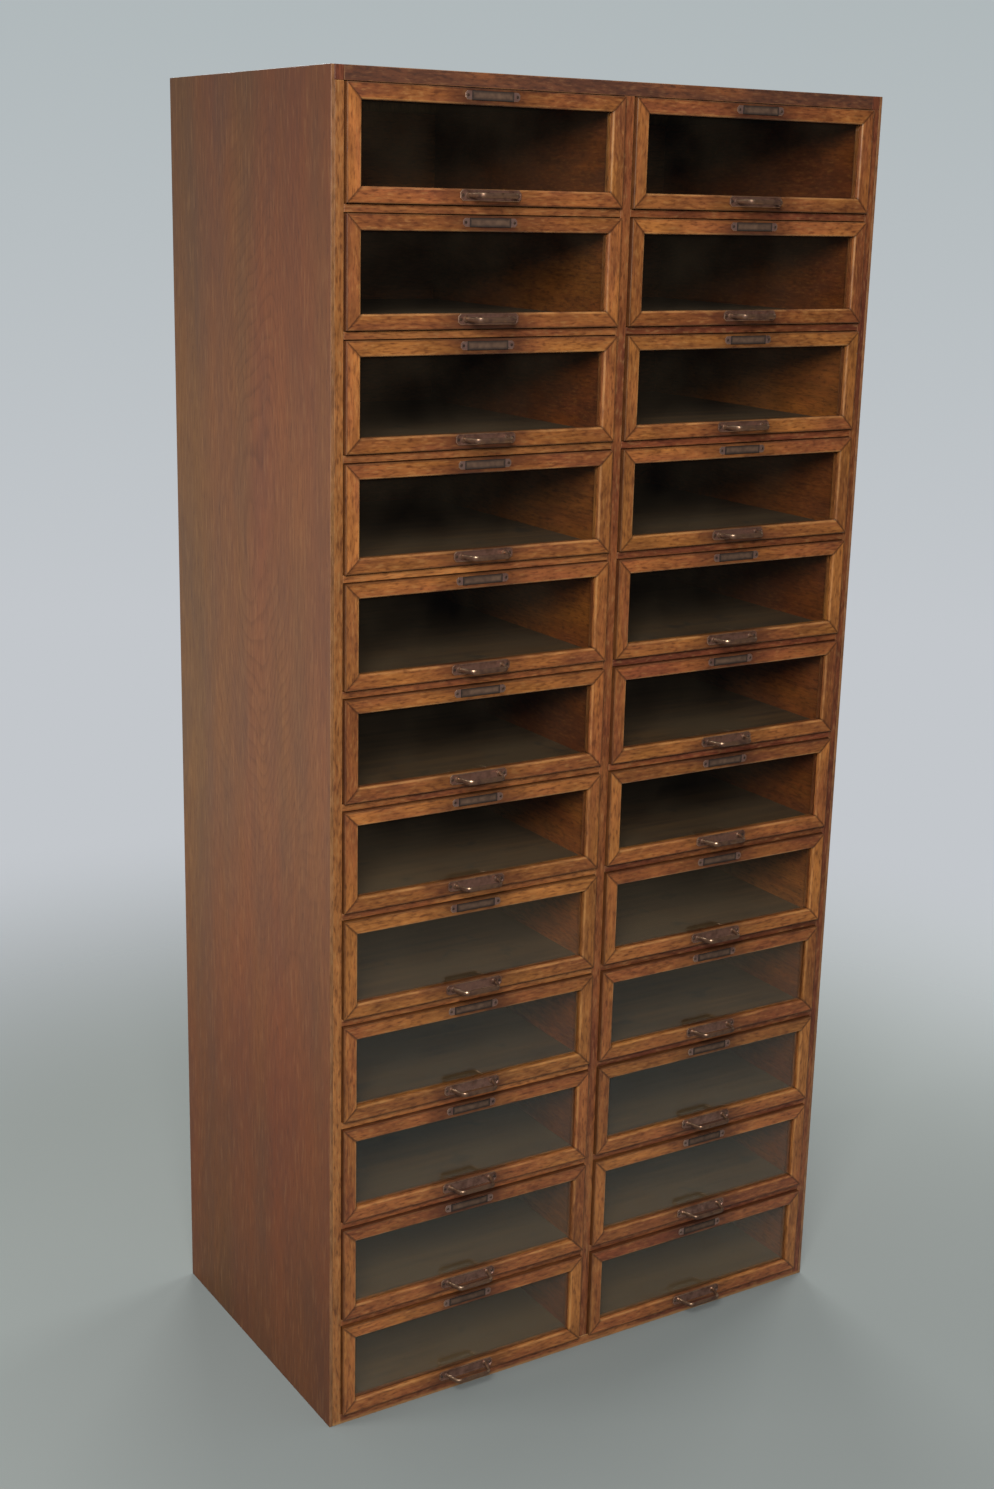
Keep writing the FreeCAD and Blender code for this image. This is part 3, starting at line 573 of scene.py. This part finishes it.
def front_frame(bm, spot, draw):
    """The four members, moulded, rebated for the glass and mitred."""
    section = [(FRAME_THICK, 0), (0, 0), (0, SHADED_EDGE), (0, MEMBER_WIDTH),
               (GLASS_SETBACK, MEMBER_WIDTH), (GLASS_SETBACK, MEMBER_WIDTH - REBATE),
               (FRAME_THICK, MEMBER_WIDTH - REBATE)]
    eased = [(3, SIGHT_BEVEL, 3, 0.6), (1, OUTER_ARRIS, 3, 0.4)]
    middle = spot + Vector((0, -FRONT_PROUD, FRONT_GAP + FRONT_HEIGHT / 2))
    drawer_tone = draw.uniform(-0.2, 0.2)
    for side in SIDES_OF_FRAME:
        _, right, _ = side
        tone = (SHEENED_UPRIGHT_TONE if right else LEVEL_TONE) + drawer_tone + draw.uniform(-0.25, 0.25)
        mitred_strip(bm, section, eased, side, middle, tone, draw)


def glazing_beads(bm, spot, draw):
    """Four mitred beads behind the glass, their inner back edge rounded."""
    front, outer = GLASS_SETBACK + GLASS_THICK, MEMBER_WIDTH - REBATE
    section = [(front, outer), (front, outer + BEAD_WIDTH), (front + BEAD_DEPTH, outer + BEAD_WIDTH),
               (front + BEAD_DEPTH, outer)]
    middle = spot + Vector((0, -FRONT_PROUD, FRONT_GAP + FRONT_HEIGHT / 2))
    for side in SIDES_OF_FRAME:
        tone = draw.uniform(0.2, 0.8)
        mitred_strip(bm, section, [(2, BEAD_ROUNDING, 3, 0.3)], side, middle, tone, draw)


def drawer_box(bm, spot, draw):
    """Two grooved sides with rounded upper edges, and the back between them."""
    low, high = BOX_LIFT, BOX_LIFT + BOX_HEIGHT
    groove_low, groove_high = low + BOTTOM_RISE, low + BOTTOM_RISE + BOTTOM_THICK
    inner = BOX_OUTER - BOX_SIDE
    front = FRAME_THICK - FRONT_PROUD
    for hand in (-1, 1):
        section = [(BOX_OUTER, low), (inner, low), (inner, groove_low), (inner + GROOVE, groove_low),
                   (inner + GROOVE, groove_high), (inner, groove_high), (inner, high), (BOX_OUTER, high)]
        sweep(bm, [spot + Vector((hand * x, front, z)) for x, z in section], (0, BOX_LENGTH, 0))
        top = [vert for vert in newest(bm) if vert.co.z > spot.z + high - MM]
        long_edges = [edge for edge in edges_between(top) if edge.calc_length() > BOX_SIDE * 2]
        ease(bm, long_edges, SIDE_ROUNDING, 3, 0.5)
        lay_grain(bm, "y", draw.uniform(0, 1), draw)
    back = front + BOX_LENGTH
    board(bm, spot + Vector((-inner, back - BOX_SIDE, groove_high)), spot + Vector((inner, back, high)),
          "x", draw.uniform(0, 1), draw)


def drawer_bottom(bm, spot, draw):
    """Plywood bottom, in the grooves of the sides."""
    reach = BOX_OUTER - BOX_SIDE + GROOVE
    front, low = FRAME_THICK - FRONT_PROUD, BOX_LIFT + BOTTOM_RISE
    board(bm, spot + Vector((-reach, front, low)),
          spot + Vector((reach, front + BOX_LENGTH, low + BOTTOM_THICK)), "x", 0.5, draw, BOTTOM_ARRIS)


def clipped_plate(bm, middle, length, height, clip, thick):
    """A flat plate with clipped corners, flat on the wood. Returns its front face."""
    x, z = length / 2, height / 2
    corners = [(-x + clip, -z), (x - clip, -z), (x, -z + clip), (x, z - clip),
               (x - clip, z), (-x + clip, z), (-x, z - clip), (-x, -z + clip)]
    _, front = sweep(bm, [middle + Vector((a, 0, b)) for a, b in corners], (0, -thick, 0))
    ease(bm, edges_between(front), min(PLATE_ARRIS, thick / 2), 2)
    foremost = min(vert.co.y for vert in bm.verts) + SAME_PLACE
    return next(face for face in bm.faces if all(vert.co.y < foremost for vert in face.verts))


def pull_plate(bm, spot, draw):
    """Pressed back plate with a shallow sunk field inside its border."""
    middle = spot + Vector((0, -FRONT_PROUD, PULL_Z))
    face = clipped_plate(bm, middle, PLATE_LENGTH, PLATE_HEIGHT, PLATE_CLIP, PLATE_THICK)
    bmesh.ops.inset_region(bm, faces=[face], thickness=PLATE_BORDER, use_even_offset=True)
    bmesh.ops.inset_region(bm, faces=[face], thickness=FIELD_SLOPE, depth=-FIELD_DEPTH,
                           use_even_offset=True)


def extend(bm, ring, travel, steps):
    """A ring of edges extruded along a vector. Returns the last ring."""
    for _ in range(steps):
        made = bmesh.ops.extrude_edge_only(bm, edges=ring)["geom"]
        verts = [item for item in made if isinstance(item, bmesh.types.BMVert)]
        bmesh.ops.translate(bm, vec=Vector(travel) / steps, verts=verts)
        ring = edges_between(verts)
    return ring


def bend(bm, ring, centre, angle):
    """A ring of edges turned about an upright axis. Returns the last ring."""
    verts = list(dict.fromkeys(vert for edge in ring for vert in edge.verts))
    made = bmesh.ops.spin(bm, geom=ring + verts, cent=centre, axis=(0, 0, 1), angle=angle, steps=5)
    return [item for item in made["geom_last"] if isinstance(item, bmesh.types.BMEdge)]


def pull_bow(bm, spot, draw):
    """Bow of the pull: a rounded strap with slanting arms and a taller grip, on two small collars.
    The upper faces of its arms and corners are marked for a painted highlight, where light from above
    catches them."""
    slant = math.atan2((BOW_SPREAD - BOW_LENGTH) / 2, BOW_REACH)
    turn, radius = math.pi / 2 - slant, BOW_CORNER - BOW_THICK / 2
    foot, depth = (BOW_SPREAD - BOW_THICK) / 2, BOW_REACH - BOW_THICK / 2
    tangent = radius * math.tan(turn / 2)
    corner = foot - depth * math.tan(slant) - tangent
    arm = depth / math.cos(slant) - tangent
    out = Vector((math.sin(slant), -math.cos(slant), 0))
    loop = bmesh.ops.create_circle(bm, segments=12, radius=1)["verts"]
    bmesh.ops.scale(bm, vec=(BOW_THICK / 2, BOW_HEIGHT / 2, 1), verts=loop)
    bmesh.ops.rotate(bm, cent=(0, 0, 0), verts=loop,
                     matrix=Matrix.Rotation(slant, 3, "Z") @ Matrix.Rotation(math.pi / 2, 3, "X"))
    bmesh.ops.translate(bm, vec=(-foot, 0, 0), verts=loop)
    root = edges_between(loop)
    ring = extend(bm, root, out * arm, 2)
    ring = bend(bm, ring, (-corner, radius - depth, 0), turn)
    ring = extend(bm, ring, (2 * corner, 0, 0), 4)
    ring = bend(bm, ring, (corner, radius - depth, 0), turn)
    ring = extend(bm, ring, Vector((out.x, -out.y, 0)) * arm, 2)
    bmesh.ops.holes_fill(bm, edges=ring + root, sides=0)
    for vert in bm.verts:
        rise = math.sin(min(1, -vert.co.y / depth) * math.pi / 2)
        vert.co.z *= BOW_FOOT_SHARE + (1 - BOW_FOOT_SHARE) * rise
    bm.normal_update()
    # Painted highlight: the upward-facing faces of the arms and corners are marked to be made paler.
    wear_and_highlight_layer = bm.faces.layers.float["wear_and_highlight"]
    for face in bm.faces:
        if face.normal.z > 0.3 and abs(face.calc_center_median().x) > corner - 3 * MM:
            face[wear_and_highlight_layer] = 0.9
    for hand in (-1, 1):
        collar = bmesh.ops.create_cone(bm, cap_ends=True, segments=12, radius1=COLLAR_FOOT,
                                       radius2=COLLAR_TOP, depth=COLLAR_HEIGHT)["verts"]
        bmesh.ops.rotate(bm, cent=(0, 0, 0), matrix=Matrix.Rotation(math.pi / 2, 3, "X"), verts=collar)
        bmesh.ops.translate(bm, vec=(hand * foot, -COLLAR_RISE, 0), verts=collar)
    bmesh.ops.translate(bm, vec=spot + Vector((0, -FRONT_PROUD - PLATE_THICK, PULL_Z)), verts=bm.verts)


def label_holder(bm, spot, draw):
    """Pressed label holder: two ears with clipped corners and a folded rim round the card."""
    middle = spot + Vector((0, -FRONT_PROUD, HOLDER_Z))
    rim_x, rim_z = HOLDER_LENGTH / 2 - EAR_LENGTH, HOLDER_HEIGHT / 2
    clipped_plate(bm, middle, HOLDER_LENGTH, EAR_HEIGHT, EAR_CLIP, EAR_THICK)
    corners = [(-rim_x, -rim_z), (rim_x, -rim_z), (rim_x, rim_z), (-rim_x, rim_z)]
    rim = bm.faces.new([bm.verts.new(middle + Vector((x, 0, z))) for x, z in corners])
    border = bmesh.ops.inset_region(bm, faces=[rim], thickness=RIM_WIDTH, use_even_offset=True)["faces"]
    bmesh.ops.delete(bm, geom=[rim], context="FACES_ONLY")
    raised = bmesh.ops.extrude_face_region(bm, geom=border, use_keep_orig=True)["geom"]
    front = [item for item in raised if isinstance(item, bmesh.types.BMVert)]
    bmesh.ops.translate(bm, vec=(0, -RIM_THICK, 0), verts=front)
    runs = {edge: edge.verts[0].co - edge.verts[1].co for edge in edges_between(front)}
    lips = [edge for edge, run in runs.items() if run.x * run.z == 0]
    ease(bm, lips, LIP_ROUNDING, 3)


def blank_card(bm, spot, draw):
    """The card behind the rim. Painted shade from the rim fades over its outer 4 mm."""
    middle = spot + Vector((0, -FRONT_PROUD, HOLDER_Z))
    x = HOLDER_LENGTH / 2 - EAR_LENGTH - RIM_WIDTH + CARD_COVER
    z = HOLDER_HEIGHT / 2 - RIM_WIDTH + CARD_COVER
    board(bm, middle + Vector((-x, -EAR_THICK - CARD_THICK, -z)), middle + Vector((x, -EAR_THICK, z)),
          "x", 0, draw, CARD_ARRIS)
    dirt_and_shade = bm.verts.layers.float["dirt_and_shade"]
    for vert in bm.verts:
        vert[dirt_and_shade] = 1.0
    front = max(bm.faces, key=lambda face: -face.normal.y * face.calc_area())
    bmesh.ops.inset_region(bm, faces=[front], thickness=RIM_SHADE_WIDTH, use_even_offset=True)
    for vert in front.verts:
        vert[dirt_and_shade] = 0.0


def screw(bm, seat, radius, facing, draw):
    """A slotted screw head with a sloping rim, at its seat. It faces the front at -1, the back at 1.
    Its height, its flat top and its slot are shares of its radius."""
    bmesh.ops.create_cone(bm, cap_ends=True, segments=12, radius1=radius, radius2=SCREW_TOP * radius,
                          depth=SCREW_RISE * radius)
    for side in (-1, 1):
        top = [face for face in bm.faces if face.normal.z > 0.9 and set(face.verts) <= set(newest(bm))]
        geometry = top + edges_between([vert for face in top for vert in face.verts])
        geometry += list(dict.fromkeys(vert for face in top for vert in face.verts))
        bmesh.ops.bisect_plane(bm, geom=geometry, plane_co=(side * SLOT_HALF * radius, 0, 0),
                               plane_no=(1, 0, 0))
    head = set(newest(bm))
    slot = min((face for face in bm.faces if face.normal.z > 0.9 and head.issuperset(face.verts)),
               key=lambda face: abs(face.calc_center_median().x))
    sunk = bmesh.ops.extrude_face_region(bm, geom=[slot])["geom"]
    bmesh.ops.translate(bm, vec=(0, 0, -SLOT_DEPTH * radius),
                        verts=[item for item in sunk if isinstance(item, bmesh.types.BMVert)])
    made = newest(bm)
    slot_turn = Matrix.Rotation(draw.uniform(0, math.pi), 3, "Z")
    turn = Matrix.Rotation(-facing * math.pi / 2, 3, "X") @ slot_turn
    bmesh.ops.rotate(bm, cent=(0, 0, 0), matrix=turn, verts=made)
    bmesh.ops.translate(bm, vec=seat + Vector((0, facing * SCREW_RISE / 2 * radius, 0)), verts=made)
    lay_grain(bm, "x", 0, draw)


def fixing_screws(bm, spot, draw):
    """Two screws in the pull's plate and two in the label holder's ears."""
    for hand in (-1, 1):
        x = hand * (PLATE_LENGTH / 2 - PULL_SCREW_IN)
        seat = spot + Vector((x, -FRONT_PROUD - PLATE_THICK + PULL_SCREW_SEAT, PULL_Z))
        screw(bm, seat, PULL_SCREW, -1, draw)
        x = hand * (HOLDER_LENGTH - EAR_LENGTH) / 2
        screw(bm, spot + Vector((x, -FRONT_PROUD - EAR_THICK, HOLDER_Z)), HOLDER_SCREW, -1, draw)


DRAWER_PIECES = (
    ("frame", front_frame, front_oak, False),
    ("beads", glazing_beads, front_oak, False),
    ("box", drawer_box, box_wood, False),
    ("bottom", drawer_bottom, bottom_ply, False),
    ("pull_plate", pull_plate, plate_metal, False),
    ("pull_bow", pull_bow, bow_metal, True),
    ("label_holder", label_holder, holder_metal, False),
    ("blank_card", blank_card, card, False),
    ("screws", fixing_screws, screw_metal, False),
)

for column in COLUMNS:
    for number in range(1, ROWS + 1):
        drawer = f"{column}_drawer_{number:02d}"
        low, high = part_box(drawer)
        spot = Vector(((low.x + high.x) / 2, FRONT_Y, low.z - BOX_LIFT))
        for part, build, material, smooth in DRAWER_PIECES:
            mesh = new_mesh()
            build(mesh, spot, random.Random(f"{drawer} {part}"))
            finish(f"{drawer}_{part}", mesh, drawer, [material],
                   [drawer] if part == "frame" else [], smooth)
        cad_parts[drawer + "_glass"].data.materials.clear()
        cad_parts[drawer + "_glass"].data.materials.append(glass)


# Carcass. Its right half is stained darker and redder than its left: a tone of 0 is ochre, 1 is red.

STAIN = {"left": 0.0, "right": 0.6}
RAIL_STAIN = {"left": 0.4, "right": 0.85}


def carcass_board(name, node, along, material, tone, box=None):
    """A board of the carcass that stands for a node, or for a part of one."""
    draw = random.Random(name)
    bm = new_mesh()
    board(bm, *(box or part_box(node)), along, tone + draw.uniform(-0.15, 0.15), draw, wear_and_highlight=0.3)
    return finish(name, bm, "carcass", [material], [node])


def wide_board(name, node, material, tone):
    """The top or bottom board, notched at its front corners for the stiles."""
    low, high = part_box(node)
    notch, shoulder = high.x - STILE_WIDTH, low.y + FACE_DEPTH
    corners = [(-notch, low.y), (notch, low.y), (notch, shoulder), (high.x, shoulder),
               (high.x, high.y), (low.x, high.y), (low.x, shoulder), (-notch, shoulder)]
    draw = random.Random(name)
    bm = new_mesh()
    sweep(bm, [(x, y, low.z) for x, y in corners], (0, 0, high.z - low.z))
    ease(bm, edges_of(newest(bm)), BOARD_ARRIS)
    lay_grain(bm, "x", tone, draw)
    finish(name, bm, "carcass", [material], [node])


def side_panel(column):
    """A veneered side. Its front and back edges show the plain plies."""
    panel = carcass_board(f"{column}_side", f"{column}_side_panel", "z", veneer, 0.5)
    panel.data.materials.append(ply_edge)
    for polygon in panel.data.polygons:
        polygon.material_index = 0 if abs(polygon.normal.x) > 0.9 else 1


def front_stile(column):
    """A front stile, with the corner block that stands on it."""
    node = f"{column}_stile"
    low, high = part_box(node)
    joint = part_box("top_board")[0].z
    carcass_board(f"{column}_upright", node, "z", carcass_oak, STAIN[column],
                  box=(low, Vector((high.x, high.y, joint))))
    carcass_board(f"{column}_corner_block", node, "z", block_wood, 0.5,
                  box=(Vector((low.x, low.y, joint)), high))


def rails():
    """The divider rails, eleven in each column, from the bottom up."""
    low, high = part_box("divider_rails")
    muntin_low, muntin_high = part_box("centre_muntin")
    pitch = (high.z - low.z - RAIL_THICK) / (ROWS - 2)
    for number in range(1, ROWS):
        z = low.z + (number - 1) * pitch
        for column, left, right in (("left", low.x, muntin_low.x), ("right", muntin_high.x, high.x)):
            carcass_board(f"{column}_rail_{ROWS - number:02d}", "divider_rails", "x",
                          carcass_oak, RAIL_STAIN[column],
                          box=(Vector((left, low.y, z)), Vector((right, high.y, z + RAIL_THICK))))


def screwed_back():
    """The back panel, with screws round its edge and up its middle. Their heads are its outermost
    part, so the plywood's face lies a screw head's height further in."""
    low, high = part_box("back_panel")
    face = Vector((high.x, high.y - SCREW_RISE * BACK_SCREW, high.z))
    carcass_board("back", "back_panel", "z", back_ply, 0.5, box=(low, face))
    draw = random.Random("back screws")
    bm = new_mesh()
    pitch = (high.z - low.z - 2 * BACK_SCREW_END) / (BACK_SCREW_ROWS - 1)
    rows = [low.z + BACK_SCREW_END + number * pitch for number in range(BACK_SCREW_ROWS)]
    places = [(x, z) for z in rows for x in (low.x + BACK_SCREW_SIDE, 0, high.x - BACK_SCREW_SIDE)]
    places += [(x, z) for x in BACK_SCREWS_ACROSS for z in (rows[0], rows[-1])]
    for x, z in places:
        screw(bm, Vector((x, face.y, z)), BACK_SCREW, 1, draw)
    finish("back_screws", bm, "carcass", [screw_metal])


for column in COLUMNS:
    side_panel(column)
    front_stile(column)
wide_board("top", "top_board", top_oak, 0.5)
wide_board("bottom", "bottom_board", carcass_oak, 0.6)
carcass_board("muntin", "centre_muntin", "z", carcass_oak, 0.6)
rails()
screwed_back()
for node in ("back_posts", "centre_partition", "drawer_runners"):
    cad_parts[node].data.materials.clear()
    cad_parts[node].data.materials.append(softwood)


# Plain studio

FLOOR_RADIUS, FLOOR_FULL = 2.5, 0.9


def studio_floor():
    """Pale matt floor round the cabinet. It fades into the background on every side, and nothing of
    it is seen from below."""
    material, tree, surface = new_material("pale_floor")
    tree.nodes.remove(surface)
    spot = add(tree, "ShaderNodeTexCoord").outputs["Object"]
    away = add(tree, "ShaderNodeVectorMath", {0: spot}, operation="LENGTH").outputs["Value"]
    fade = add(tree, "ShaderNodeMapRange", {0: away, 1: FLOOR_FULL, 2: FLOOR_RADIUS},
               interpolation_type="SMOOTHSTEP").outputs[0]
    below = add(tree, "ShaderNodeNewGeometry").outputs["Backfacing"]
    fade = add(tree, "ShaderNodeMath", {0: fade, 1: below}, operation="MAXIMUM").outputs[0]
    matt = add(tree, "ShaderNodeBsdfDiffuse", {"Color": paint("#888D8A")}).outputs[0]
    gone = add(tree, "ShaderNodeBsdfTransparent").outputs[0]
    both = add(tree, "ShaderNodeMixShader", {0: fade, 1: matt, 2: gone}).outputs[0]
    tree.links.new(both, tree.nodes["Material Output"].inputs["Surface"])
    bm = bmesh.new()
    bmesh.ops.create_circle(bm, cap_ends=True, segments=64, radius=FLOOR_RADIUS)
    mesh = bpy.data.meshes.new("floor")
    bm.to_mesh(mesh)
    bm.free()
    mesh.materials.append(material)
    floor = bpy.data.objects.new("floor", mesh)
    scene.collection.objects.link(floor)


def studio_light():
    """A pale background that the camera sees, and that glass and metal mirror, and a sky that lights
    from above. In front of the cabinet the mirrored background is a plain dim room, so that the
    drawers' insides show, and a warm pale floor below it."""
    world = bpy.data.worlds.new("studio")
    world.use_nodes = True
    scene.world = world
    tree = world.node_tree
    tree.nodes.clear()
    direction = add(tree, "ShaderNodeTexCoord").outputs["Generated"]
    _, depth, height = add(tree, "ShaderNodeSeparateXYZ", {0: direction}).outputs
    sky = add(tree, "ShaderNodeValToRGB", {0: height}, [
        (0.0, paint("#5C5E60")), (0.3, paint("#909498")), (0.9, paint("#E8ECF0"))]).outputs[0]
    light = add(tree, "ShaderNodeBackground", {"Color": sky, "Strength": 0.7}).outputs[0]
    rise = add(tree, "ShaderNodeMapRange", {0: height, 1: -0.5, 2: 0.5}).outputs[0]
    wall = add(tree, "ShaderNodeValToRGB", {0: rise}, [
        (0.3, paint("#C3C7CC")), (0.62, paint("#AEB7B9"))]).outputs[0]
    rays = add(tree, "ShaderNodeLightPath").outputs
    front = add(tree, "ShaderNodeMapRange", {0: depth, 1: -0.35, 2: 0.15, 3: 0.97, 4: 0.0}).outputs[0]
    mirrored = add(tree, "ShaderNodeMath", {0: 1.0, 1: rays["Is Camera Ray"]},
                   operation="SUBTRACT").outputs[0]
    front = add(tree, "ShaderNodeMath", {0: front, 1: mirrored}, operation="MULTIPLY").outputs[0]
    above = add(tree, "ShaderNodeMapRange", {0: height, 1: -0.36, 2: -0.3}).outputs[0]
    room = add(tree, "ShaderNodeMix", {0: above, 6: paint("#B29D82"), 7: paint("#1A130C")},
               data_type="RGBA").outputs[2]
    pale = add(tree, "ShaderNodeMix", {0: front, 6: wall, 7: room}, data_type="RGBA").outputs[2]
    backdrop = add(tree, "ShaderNodeBackground", {"Color": pale, "Strength": 1.0}).outputs[0]
    seen = rays["Is Camera Ray"]
    for ray in ("Is Glossy Ray", "Is Transmission Ray"):
        seen = add(tree, "ShaderNodeMath", {0: seen, 1: rays[ray]}, operation="MAXIMUM").outputs[0]
    both = add(tree, "ShaderNodeMixShader", {0: seen, 1: light, 2: backdrop}).outputs[0]
    add(tree, "ShaderNodeOutputWorld", {0: both})


def soft_lamp(name, place, target, size, power):
    """A square lamp that faces a point. It is never in the picture itself."""
    lamp = bpy.data.objects.new(name, bpy.data.lights.new(name, "AREA"))
    lamp.data.size = size
    lamp.data.energy = power
    lamp.location = place
    lamp.rotation_euler = (Vector(target) - Vector(place)).to_track_quat("-Z", "Y").to_euler()
    lamp.visible_camera = False
    scene.collection.objects.link(lamp)


studio_floor()
studio_light()
soft_lamp("front_lamp", (-2.1, -2.9, 2.9), (0, 0, 0.9), 1.5, 140)
soft_lamp("side_lamp", (-2.1, 0.35, 1.0), (-0.43, 0, 0.95), 0.6, 15)
soft_lamp("back_lamp", (1.2, 2.8, 2.8), (0, 0.3, 0.9), 1.5, 55)
soft_lamp("right_lamp", (2.6, 0.9, 1.3), (0.43, 0, 0.9), 1.2, 45)
